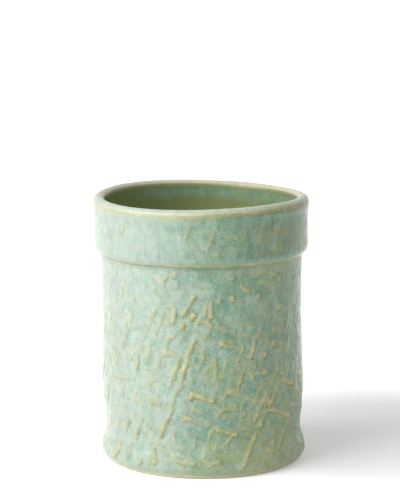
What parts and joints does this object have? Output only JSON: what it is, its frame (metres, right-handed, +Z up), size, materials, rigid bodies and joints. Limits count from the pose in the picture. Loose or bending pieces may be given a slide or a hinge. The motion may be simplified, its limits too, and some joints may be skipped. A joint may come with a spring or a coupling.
{
  "type": "toothbrush holder",
  "caption": "Round stoneware cup with a smooth band and rolled lip at its mouth, a cloth-textured wall, a drawn-in waist and a flared foot, for standing toothbrushes upright.",
  "frame": {"origin": "on the table, in the middle of the ring that the cup stands on", "axes": "+Z up along the axis of the cup; -Y is the side that the picture shows, with +X to the right"},
  "size_m": [0.08, 0.08, 0.1],
  "materials": {
    "mint_glaze": "gloss",
    "inside_glaze": "gloss"
  },
  "bodies": {
    "root": {"wall_slab": "mint_glaze", "collar_band": "mint_glaze", "floor_disc": "inside_glaze", "corner_coil": "inside_glaze"}
  },
  "joints": []
}
